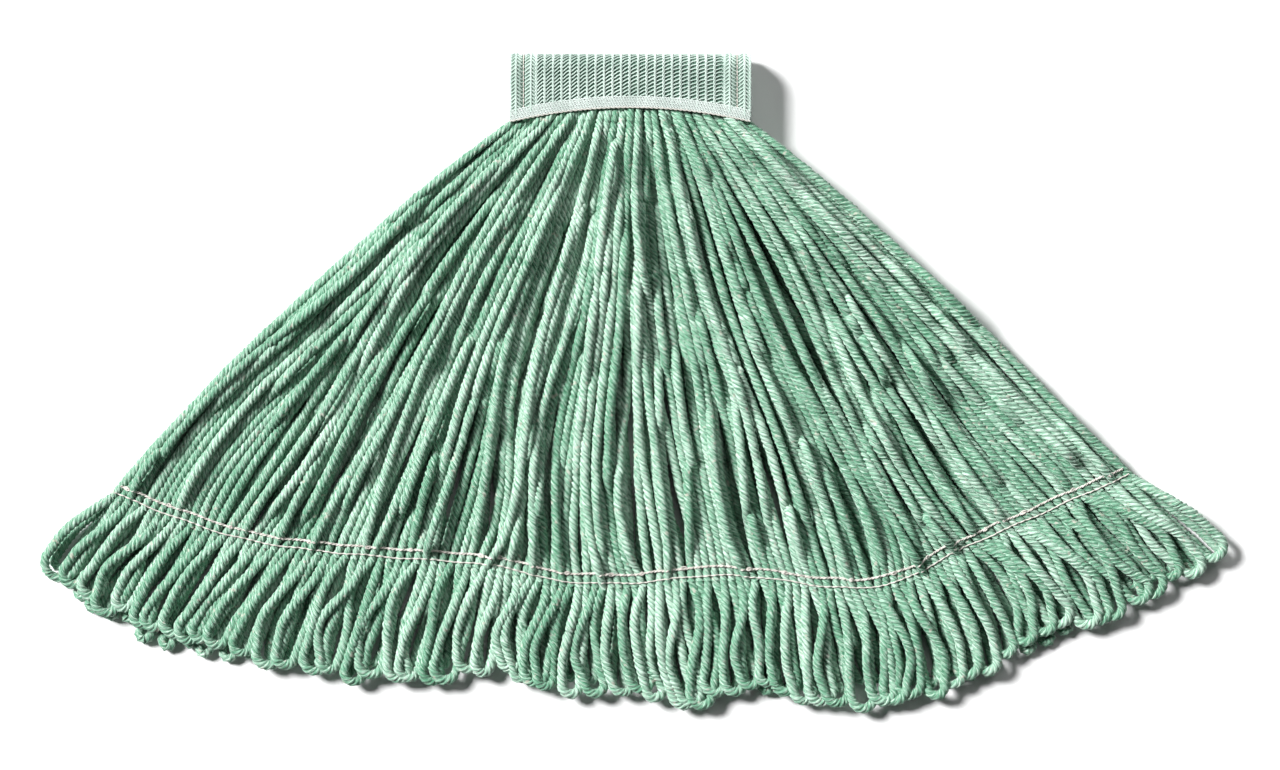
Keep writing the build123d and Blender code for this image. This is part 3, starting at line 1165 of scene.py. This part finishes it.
@dataclass
class Tailband:
    """Two rows of stitching across one layer, close to the ends of its yarns."""

    skirt: Skirt
    sweep: TwistedSweep = TwistedSweep(0.00052, plies=3, points_per_ply=2, lay=0.0060, ring=0.0008,
                                       groove=0.2, lump_height=0.0001, twist_wander=0.0)
    dip: float = 0.0010
    knot_every: float = 0.034

    def row(self, inset: float, above: bool) -> np.ndarray:
        """Line of one row over (or under) the yarns, with a dip between each two of them.

        Args:
            inset: How far the row is from the tail line.
            above: Whether it lies on top.

        Returns:
            The row's line.
        """
        side = 1.0 if above else -1.0
        points = []
        for line, girth in zip(self.skirt.lines, self.skirt.girths):
            to_tail = line_lengths(line)[-1] - line_lengths(line)
            place = np.array([np.interp(-inset, -to_tail, line[:, k]) for k in range(3)])
            place[2] += side * (self.skirt.sweep.radius * float(np.interp(-inset, -to_tail, girth)) * 0.97)
            points.append(place)
        points = np.array(points)
        tops = points[:, 2] * side
        near = np.maximum(tops, np.maximum(np.roll(tops, 1), np.roll(tops, -1)) - 0.0022)
        points[:, 2] = side * near
        points = points[np.argsort(points[:, 0])]
        between = (points[1:] + points[:-1]) / 2
        between[:, 2] -= side * self.dip
        whole = np.empty((len(points) * 2 - 1, 3))
        whole[0::2], whole[1::2] = points, between
        return smooth_line(whole, 4)

    def build(self) -> None:
        """Make the two rows of stitching."""
        front = self.skirt.layer is Layer.FRONT
        side = self.skirt.layer.value
        body = "front_skirt" if front else "back_skirt"
        random = np.random.default_rng(self.skirt.seed + 5)
        lower, upper = self.skirt.rows
        for name, inset, chained in (("lower", lower, False), ("upper", upper, True)):
            line = self.row(inset, front)
            gone = line_lengths(line)
            strands = []
            swing = 0.00045 if chained else 0.00012
            for phase in ((0.0, math.pi) if chained else (0.0,)):
                moved = line.copy()
                wave = gone * (2 * math.pi / 0.0052) + phase
                moved[:, 1] += swing * np.sin(wave) + 0.0004 * np.sin(gone * 150)
                moved[:, 2] += (0.00025 if front else -0.00025) * (1 + np.cos(wave))
                strands.append(Strand(moved, 1.0, 0.5))
            if chained:
                strands += self.knots(line, gone, random, front)
            piece = self.sweep.sweep(f"{side}_tail_stitching_{name}", strands, Finish.STITCH)
            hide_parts(f"{side}_tail_thread_{name}")
            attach(piece, body)

    def knots(self, line: np.ndarray, gone: np.ndarray, random: np.random.Generator,
              front: bool) -> list[Strand]:
        """Small tangles where the chain's thread doubles back.

        Args:
            line: The row's line.
            gone: Distance of each of its points from the first.
            random: Where their places are drawn from.
            front: Whether the row is on top.

        Returns:
            The tangles.
        """
        found = []
        side = 1.0 if front else -1.0
        for place in np.arange(0.01, gone[-1] - 0.01, self.knot_every):
            centre = place + random.uniform(-0.011, 0.011)
            span = random.uniform(0.0022, 0.0046)
            turns = np.linspace(0, 2 * np.pi * 1.25, 22) + random.uniform(0, 6)
            reach = centre + span * np.cos(turns) * 0.5
            path = np.array([[np.interp(r, gone, line[:, k]) for k in range(3)] for r in reach])
            path[:, 1] += 0.0010 * np.sin(turns)
            path[:, 2] += side * (0.0006 + 0.0003 * np.sin(turns * 2))
            found.append(Strand(path, 0.9, 0.5))
        return found


# ---------------------------------------------------------------- headband


@dataclass
class Sleeve:
    """The surface of the folded headband: flat front, rounded top fold, flat back."""

    plan: FanPlan
    radius: float = 0.009
    hem: float = 0.017

    def __post_init__(self) -> None:
        """Take the sleeve's height, thickness and ends from the frame."""
        low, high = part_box("headband_mesh")
        self.back, self.front, self.top = low.z, high.z, high.y
        self.left = self.plan.left
        self.right = self.plan.left + self.plan.width
        self.flat_top = (self.front - self.back) / 2 - self.radius
        self.corner = math.pi / 2 * self.radius
        self.fold_y = self.top - self.radius

    def seam_y(self, x: np.ndarray) -> np.ndarray:
        """Height of the arched seam up the band."""
        u = np.clip((np.asarray(x) - self.left) / (self.right - self.left), 0, 1)
        return self.plan.crease_y + self.plan.seam_rise * (1 - (2 * u - 1) ** 2)

    def limit(self, x: np.ndarray) -> np.ndarray:
        """Distance from the middle of the top fold down to the seam."""
        return self.flat_top + self.corner + self.fold_y - self.seam_y(x)

    def at(self, x: np.ndarray, down: np.ndarray, lift: np.ndarray | float) -> np.ndarray:
        """Points on the surface.

        Args:
            x: Place across the band.
            down: Distance from the middle of the top fold, positive down the front.
            lift: How far out of the surface.

        Returns:
            The points, one in each row.
        """
        x, down = np.broadcast_arrays(np.asarray(x, float), np.asarray(down, float))
        lift = np.broadcast_to(lift, x.shape)
        away = np.abs(down)
        turn = np.clip((away - self.flat_top) / self.corner, 0, 1) * math.pi / 2
        straight = np.clip(away - self.flat_top - self.corner, 0, None)
        y = self.fold_y + (self.radius + lift) * np.cos(turn) - straight
        side = np.minimum(away, self.flat_top) + (self.radius + lift) * np.sin(turn)
        z = (self.front + self.back) / 2 + np.sign(down) * side
        return np.stack([x, y, z], axis=-1)


@dataclass
class Headband:
    """The knitted band: a dark sheet of painted shade under its open mesh, chain wales, inlay threads,
    ribbed hems and seam strips.
    """

    sleeve: Sleeve
    wale: float = 0.00525
    course: float = 0.00235
    tape_height: float = 0.0070
    tape_proud: float = 0.0010
    tape_drop: float = 0.0010
    thread: TwistedSweep = TwistedSweep(0.00050, plies=2, points_per_ply=3, groove=0.16, lay=0.0070,
                                        ring=0.0009, lump_height=0.0001, twist_wander=0.0, level=False)

    def ground(self, name: str, left: float, right: float, finish: Finish, swell: float,
               wall: float = 0.0008) -> bpy.types.Object:
        """Sheet from seam to seam over the fold, closed at its edges: padded fabric in the hems, and a dark
        sheet of painted shade under the open mesh.

        Args:
            name: The piece's name.
            left: Its left edge.
            right: Its right edge.
            finish: What it is made of.
            swell: How far its middle stands out.
            wall: How thick it is.

        Returns:
            The sheet.
        """
        xs = np.linspace(left, right, max(9, int((right - left) / 0.0022)))
        rows = np.linspace(-1, 1, 90)
        across = (xs - left) / (right - left)
        arch = swell * np.sqrt(np.clip(1 - (2 * across - 1) ** 2, 0, 1))
        grid_x = np.broadcast_to(xs, (len(rows), len(xs)))
        down = rows[:, None] * self.sleeve.limit(xs)[None, :]
        outer = self.sleeve.at(grid_x, down, np.broadcast_to(arch, grid_x.shape))
        inner = self.sleeve.at(grid_x, down, -wall)
        count, columns = outer.shape[0] * outer.shape[1], len(xs)
        points = np.concatenate([outer.reshape(-1, 3), inner.reshape(-1, 3)])
        faces = []
        for i in range(len(rows) - 1):
            for j in range(columns - 1):
                a = i * columns + j
                b, c, d = a + 1, a + columns + 1, a + columns
                faces += [(a, d, c, b), (a + count, b + count, c + count, d + count)]
        rim = [i * columns for i in range(len(rows))]
        rim += [(len(rows) - 1) * columns + j for j in range(1, columns)]
        rim += [i * columns + columns - 1 for i in range(len(rows) - 2, -1, -1)]
        rim += list(range(columns - 2, 0, -1))
        for a, b in zip(rim, rim[1:] + rim[:1]):
            faces.append((a, a + count, b + count, b))
        flat = np.stack([grid_x, down, np.zeros_like(down)], axis=-1).reshape(-1, 3)
        return self.fabric(name, points, faces, np.concatenate([flat, flat]), finish)

    def runs(self, x: np.ndarray, down: np.ndarray, lift: np.ndarray, margin: float) -> list[Strand]:
        """Cut one thread where it would pass the seam, and put the rest on the sleeve.

        Args:
            x: Places across the band.
            down: Distances from the middle of the top fold.
            lift: How far the thread stands out of the sleeve.
            margin: How far from the seam it stops.

        Returns:
            The stretches that are left.
        """
        inside = np.abs(down) < self.sleeve.limit(x) - margin
        found, start = [], None
        for i, held in enumerate(np.append(inside, False)):
            if held and start is None:
                start = i
            elif not held and start is not None:
                if i - start > 3:
                    part = slice(start, i)
                    found.append(Strand(self.sleeve.at(x[part], down[part], lift[part]), 1.0, 0.5))
                start = None
        return found

    def inlays(self, left: float, right: float, random: np.random.Generator) -> list[Strand]:
        """Threads across the band that climb between wales and drop behind each of them.

        Args:
            left: Where they start.
            right: Where they end.
            random: Where their unevenness is drawn from.

        Returns:
            The threads.
        """
        columns = round((right - left) / self.wale)
        reach = self.sleeve.limit(np.array(left)) + 0.002
        found = []
        place = np.linspace(left, right, columns * 6 + 1)
        cell = (place - left) / (right - left) * columns
        part = cell % 1.0
        across = (place - left) / (right - left)
        rise = np.interp(across, (0, 0.2, 0.55, 1), (0.0042, 0.0036, 0.0022, 0.0012))
        saw = np.where(part < 0.82, part / 0.82 - 0.5, 0.5 - (part - 0.82) / 0.18)
        duck = np.clip(np.abs(part - 0.91) / 0.12, 0, 1)
        for k in np.arange(-reach, reach, self.course):
            down = k - saw * rise + random.normal(0, 0.00012, len(place))
            found += self.runs(place, down, 0.00010 + 0.00040 * duck, 0.003)
        return found

    def chains(self, places: list[float], swing: float, lift: float) -> list[Strand]:
        """Columns of crossed threads from seam to seam.

        Args:
            places: Where each column is across the band.
            swing: How far its threads swing.
            lift: How far it stands out.

        Returns:
            The threads.
        """
        found = []
        for x in places:
            reach = float(self.sleeve.limit(np.array(x)))
            down = np.arange(-reach, reach, self.course / 5)
            for phase in (0.0, math.pi):
                wave = down * (math.pi / self.course) + phase
                found += self.runs(x + swing * np.sin(wave), down, lift + 0.0003 * np.cos(wave), 0.002)
        return found

    def ribs(self, left: float, right: float, swell: float, random: np.random.Generator) -> list[Strand]:
        """Rows of peaked stitches over one rib of a hem.

        Args:
            left: The rib's left edge.
            right: Its right edge.
            swell: How far its middle stands out.
            random: Where the unevenness is drawn from.

        Returns:
            The threads.
        """
        reach = float(self.sleeve.limit(np.array((left + right) / 2)))
        place = np.linspace(left, right, 13)
        share = (place - left) / (right - left)
        arch = swell * np.sqrt(np.clip(1 - (2 * share - 1) ** 2, 0, 1))
        found = []
        for k in np.arange(-reach, reach, self.course):
            down = k + 0.0026 * np.abs(2 * share - 1) + random.normal(0, 0.0001, len(place))
            found += self.runs(place, down, arch + 0.0002, 0.002)
        return found

    def build(self) -> None:
        """Make the band's pieces and give them to the headband body."""
        sleeve, random = self.sleeve, np.random.default_rng(5)
        inner_left, inner_right = sleeve.left + sleeve.hem, sleeve.right - sleeve.hem
        # A dark sheet of painted shade under the open mesh, in place of the shaded inside seen through its
        # holes.
        ground = self.ground("mesh_shade_sheet", sleeve.left, sleeve.right, Finish.MESH_SHADE_SHEET, 0.0)
        inlays = self.thread.sweep("mesh_inlays", self.inlays(inner_left, inner_right, random), Finish.MESH)
        columns = round((inner_right - inner_left) / self.wale)
        places = [inner_left + (k + 0.91) * (inner_right - inner_left) / columns for k in range(columns - 1)]
        wales = self.thread.sweep("mesh_wales", self.chains(places, 0.00062, 0.00065), Finish.CHAIN)
        going = [inlays, wales]
        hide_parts("headband_mesh")
        for side, edge, sign in (("left", sleeve.left, 1), ("right", sleeve.right, -1)):
            going += self.hem(side, edge, sign, random)
        tapes = [self.tape(Layer.FRONT, random), self.tape(Layer.BACK, random)]
        for piece in [ground] + going:
            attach(piece, "headband")
        front_length = 2 * float(sleeve.limit(np.array(self.sleeve.plan.middle_x)))
        log.info("headband: %d pieces", len(going) + 1 + len(tapes))

    def hem(self, side: str, edge: float, sign: int, random: np.random.Generator) -> list[bpy.types.Object]:
        """One doubled hem: padded ground, two knitted ribs and the stitching between them.

        Args:
            side: Its name: left or right.
            edge: Where its outer edge is.
            sign: 1 where the band is to its right, and -1 where it is to its left.
            random: Where its unevenness is drawn from.

        Returns:
            Its pieces.
        """
        width = self.sleeve.hem
        ends = sorted((edge, edge + sign * width))
        middle = edge + sign * width * 0.5
        swell = 0.0007
        pads, knits = [], []
        gap = 0.0009
        for first, last in ((ends[0], middle - gap), (middle + gap, ends[1])):
            name = f"{side}_hem_pad_{len(pads) + 1}"
            pads.append(self.ground(name, first, last, Finish.HEM_GROUND, swell))
            knits += self.ribs(first, last, swell, random)
        knits += self.chains([ends[0] + 0.0007, ends[1] - 0.0004], 0.0006, 0.0004)
        rib_middles = [(ends[0] + middle - gap) / 2, (ends[1] + middle + gap) / 2]
        knits += self.chains(rib_middles, 0.0005, swell + 0.0003)
        knit = self.thread.sweep(f"{side}_hem_knit", knits, Finish.MESH)
        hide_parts(f"{side}_hem")
        stitches = self.running_stitches(middle, side)
        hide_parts(f"{side}_hem_thread")
        return pads + [knit, stitches]

    def running_stitches(self, x: float, side: str) -> bpy.types.Object:
        """Short stitches in a line along a hem, each sinking into the fabric at its ends.

        Args:
            x: Where the line is across the band.
            side: The hem's name.

        Returns:
            The stitches.
        """
        reach = float(self.sleeve.limit(np.array(x))) - 0.004
        found = []
        for start in np.arange(-reach, reach - 0.003, 0.0036):
            down = np.linspace(start, start + 0.0030, 7)
            bend = np.sin(np.linspace(0, math.pi, 7))
            found.append(Strand(self.sleeve.at(np.full(7, x), down, -0.0002 + 0.0009 * bend), 0.8, 0.6))
        return self.thread.sweep(f"{side}_hem_stitches", found, Finish.STITCH)

    def tape(self, layer: Layer, random: np.random.Generator) -> bpy.types.Object:
        """Make the dense strip along the arched edge of one side, with the seam's thread through it.

        Args:
            layer: Which side of the band it is on.
            random: Where its unevenness is drawn from.

        Returns:
            The strip's ground.
        """
        side, front = layer.value, 1.0 if layer is Layer.FRONT else -1.0
        ends = (self.sleeve.left - 0.0004, self.sleeve.right + 0.0004)
        ground = self.tape_ground(f"{side}_tape_ground", ends, front)
        xs = np.arange(ends[0] + 0.0005, ends[1] - 0.0005, 0.0004)
        limit = self.sleeve.limit(xs) + self.tape_drop
        knit = self.thread.sweep(f"{side}_tape_knit", self.tape_knit(xs, limit, front, random), Finish.TAPE)
        seam = self.thread.sweep(f"{side}_seam_stitches", self.seam_chain(xs, limit, front), Finish.STITCH)
        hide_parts(f"{side}_seam_tape")
        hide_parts(f"{side}_seam_thread")
        for piece, slot in ((ground, "tape"), (knit, "tape"), (seam, "thread")):
            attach(piece, "headband")
        return ground

    def tape_ground(self, name: str, ends: tuple[float, float], front: float) -> bpy.types.Object:
        """Make the strip under the tape's stitches, closed all round.

        Args:
            name: The piece's name.
            ends: Its left and right ends.
            front: 1 on the front of the band and -1 on the back.

        Returns:
            The strip.
        """
        sleeve, around = self.sleeve, 16
        xs = np.linspace(*ends, 100)
        rounds = np.linspace(0, 2 * math.pi, around + 1)[:-1]
        half = self.tape_height / 2
        rows = []
        for x in xs:
            middle = float(sleeve.limit(np.array(x))) - half + self.tape_drop
            wide = np.cos(rounds) * half
            proud = np.sign(np.sin(rounds)) * np.abs(np.sin(rounds)) ** 0.5 * self.tape_proud
            rows.append(sleeve.at(np.full(around, x), front * (middle + wide), proud * 0.5 + 0.0001))
        points = np.array(rows).reshape(-1, 3)
        last = (len(xs) - 1) * around
        faces = []
        for i in range(len(xs) - 1):
            here, there = i * around, (i + 1) * around
            for j in range(around):
                k = (j + 1) % around
                faces.append((here + j, here + k, there + k, there + j))
        faces += [tuple(range(around - 1, -1, -1)), tuple(last + j for j in range(around))]
        if front > 0:
            faces = [face[::-1] for face in faces]
        return self.fabric(name, points, faces, points, Finish.TAPE_GROUND)

    def tape_knit(self, xs: np.ndarray, limit: np.ndarray, front: float,
                  random: np.random.Generator) -> list[Strand]:
        """Lay the rows of crossed threads that the tape is knitted from.

        Args:
            xs: Places across the band.
            limit: How far down the tape's lower edge is at each place.
            front: 1 on the front of the band and -1 on the back.
            random: Where the unevenness is drawn from.

        Returns:
            The threads.
        """
        found = []
        for row, phase in ((0.0012, 0.0), (0.0030, 1.6), (0.0048, 3.3), (0.0064, 4.7)):
            for way in (0.0, math.pi):
                wave = xs * (2 * math.pi / 0.0034) + phase + way
                down = limit - row + 0.00085 * np.sin(wave) + random.normal(0, 0.00006, len(xs))
                lift = self.tape_proud * 0.5 + 0.0003 + 0.0003 * np.cos(wave)
                found.append(Strand(self.sleeve.at(xs, front * down, lift), 1.05, 0.7))
        return found

    def seam_chain(self, xs: np.ndarray, limit: np.ndarray, front: float) -> list[Strand]:
        """Lay the two threads of the seam, one over the other in turn.

        Args:
            xs: Places across the band.
            limit: How far down the tape's lower edge is at each place.
            front: 1 on the front of the band and -1 on the back.

        Returns:
            The threads.
        """
        wave, found = xs * (2 * math.pi / 0.0060), []
        for way in (0.0, math.pi):
            down = limit - 0.0004 + 0.0005 * np.sin(wave + way)
            lift = self.tape_proud * 0.5 + 0.0004 + 0.0003 * np.cos(wave + way)
            found.append(Strand(self.sleeve.at(xs, front * down, lift), 0.7, 0.9))
        return found

    def fabric(self, name: str, points: np.ndarray, faces: list[tuple[int, ...]], flat: np.ndarray,
               finish: Finish) -> bpy.types.Object:
        """Make one smooth piece of fabric.

        Args:
            name: The piece's name.
            points: Its points.
            faces: Its faces, as places in the points.
            flat: Where each point lies on the unfolded fabric.
            finish: What it is made of.

        Returns:
            The piece.
        """
        mesh = bpy.data.meshes.new(name)
        mesh.from_pydata(points.tolist(), [], faces)
        places = mesh.attributes.new("flat", "FLOAT_VECTOR", "POINT")
        places.data.foreach_set("vector", flat.astype(np.float32).ravel())
        mesh.materials.append(finish.material())
        mesh.shade_smooth()
        piece = bpy.data.objects.new(name, mesh)
        bpy.context.scene.collection.objects.link(piece)
        return piece


@dataclass
class YarnFolds:
    """The middle of the yarns inside the band, folded over its top in nested rows."""

    sleeve: Sleeve
    sweep: TwistedSweep
    across: int = 27
    rows: int = 3
    thickness: float = 0.0042

    def build(self) -> bpy.types.Object:
        """Make the folded yarns.

        Returns:
            The piece.
        """
        sleeve, random, strands = self.sleeve, np.random.default_rng(9), []
        inset = self.thickness / 2 + 0.0012
        middle_z = (sleeve.front + sleeve.back) / 2
        for row in range(self.rows):
            depth = inset + row * self.thickness * 0.97
            outer = (sleeve.front - sleeve.back) / 2 - depth
            top = sleeve.top - depth
            for k in range(self.across):
                x = sleeve.left + 0.0032 + (sleeve.right - sleeve.left - 0.0064) * k / (self.across - 1)
                x += random.normal(0, 0.0002)
                turns = np.linspace(0, np.pi, 13)
                y = top - outer + outer * np.sin(turns)
                z = middle_z - outer * np.cos(turns)
                foot = float(sleeve.seam_y(np.array(x))) + 0.004
                legs = np.linspace(foot, top - outer, 5)[:-1]
                line = np.concatenate([
                    [(x, leg, middle_z - outer) for leg in legs],
                    np.column_stack([np.full(13, x), y, z]),
                    [(x, leg, middle_z + outer) for leg in legs[::-1]]])
                strands.append(Strand(smooth_line(line, 2), self.thickness / 2 / self.sweep.radius * 1.06,
                                      random.random(), random.random()))
        piece = self.sweep.sweep("yarn_folds", strands, Finish.YARN)
        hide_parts(*[f"yarn_fold_{k}" for k in range(1, 11)])
        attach(piece, "headband")
        return piece


# ---------------------------------------------------------------- studio


@dataclass
class Studio:
    """Plain pale floor, soft light from the upper left, and a camera straight above."""

    half_floor: float = 10.0
    key_place: tuple[float, float, float] = (-1.40, 0.80, 1.40)
    key_spread: float = 18.0
    key_strength: float = 6.8
    fill_place: tuple[float, float, float] = (0.7, 1.7, 1.4)
    fill_power: float = 19.0
    air: float = 0.06
    height: float = 2.6
    seen: float = 0.8134
    aim: tuple[float, float] = (0.0060, -0.0041)

    def build(self) -> None:
        """Make the floor, the lights and the camera."""
        half, under = self.half_floor, -0.0005
        mesh = bpy.data.meshes.new("studio_floor")
        corners = [(-half, -half, under), (half, -half, under), (half, half, under), (-half, half, under)]
        mesh.from_pydata(corners, [], [(0, 1, 2, 3)])
        mesh.materials.append(Finish.FLOOR.material())
        floor = bpy.data.objects.new("studio_floor", mesh)
        bpy.context.scene.collection.objects.link(floor)
        key = self.lamp("key_light", "SUN", self.key_place, self.key_strength)
        key.angle = math.radians(self.key_spread)
        fill = self.lamp("fill_light", "AREA", self.fill_place, self.fill_power)
        fill.size = 2.0
        world = bpy.data.worlds.new("studio_air")
        world.use_nodes = True
        air = next(node for node in world.node_tree.nodes if node.type == "BACKGROUND")
        air.inputs["Color"].default_value = (1.0, 1.0, 1.0, 1.0)
        air.inputs["Strength"].default_value = self.air
        scene = bpy.context.scene
        scene.world = world
        scene.view_settings.view_transform = "Standard"
        lens = bpy.data.cameras.new("top_camera")
        lens.sensor_width = 36.0
        lens.lens = lens.sensor_width * self.height / self.seen
        camera = bpy.data.objects.new("top_camera", lens)
        camera.location = (*self.aim, self.height + 0.012)
        scene.collection.objects.link(camera)
        scene.camera = camera
        log.info("studio: floor, two lights and the camera")

    def lamp(self, name: str, kind: str, place: tuple[float, float, float], power: float) -> bpy.types.Light:
        """Make one light that faces the mop, and return its data.

        Args:
            name: Its name.
            kind: Its Blender type.
            place: Where it is.
            power: Its strength, in the type's own unit.

        Returns:
            The light's data.
        """
        lamp = bpy.data.lights.new(name, kind)
        lamp.energy = power
        light = bpy.data.objects.new(name, lamp)
        light.location = place
        light.rotation_euler = (-Vector(place)).to_track_quat("-Z", "Y").to_euler()
        bpy.context.scene.collection.objects.link(light)
        return lamp


def main() -> None:
    """Build the mop head, the studio and the camera, in order."""
    logging.basicConfig(level=logging.INFO, format="%(name)s: %(message)s")
    plan = FanPlan()
    log.info("tail line %.0f mm", plan.tail_length[-1] * 1000)
    fine = TwistedSweep(0.0032)
    coarse = TwistedSweep(0.0032, points_per_ply=3, ring=0.0026)
    front = Skirt(plan, Layer.FRONT, LayerSizes(), fine, 7)
    back_sizes = LayerSizes(floor=(0.0017, 0.0013, 0.0008, 0.0006, 0.0006, 0.0008, 0.0012, 0.0014),
                            roof=(0.0135, 0.0138, 0.0142, 0.0150, 0.0106, 0.0080, 0.0078, 0.0076))
    back = Skirt(plan, Layer.BACK, back_sizes, coarse, 23, shingle=0.0010, widest=(0.0031, 0.0038),
                 ring_edge=0.0, length_share=0.98, neck_bend=(0.006, -0.045), parts=2, unrest=0.45)
    for skirt in (back, front):
        skirt.lay_out()
        skirt.build()
        Tailband(skirt).build()
    sleeve = Sleeve(plan)
    YarnFolds(sleeve, coarse).build()
    Headband(sleeve).build()
    Studio().build()


if __name__ == "__main__":
    main()
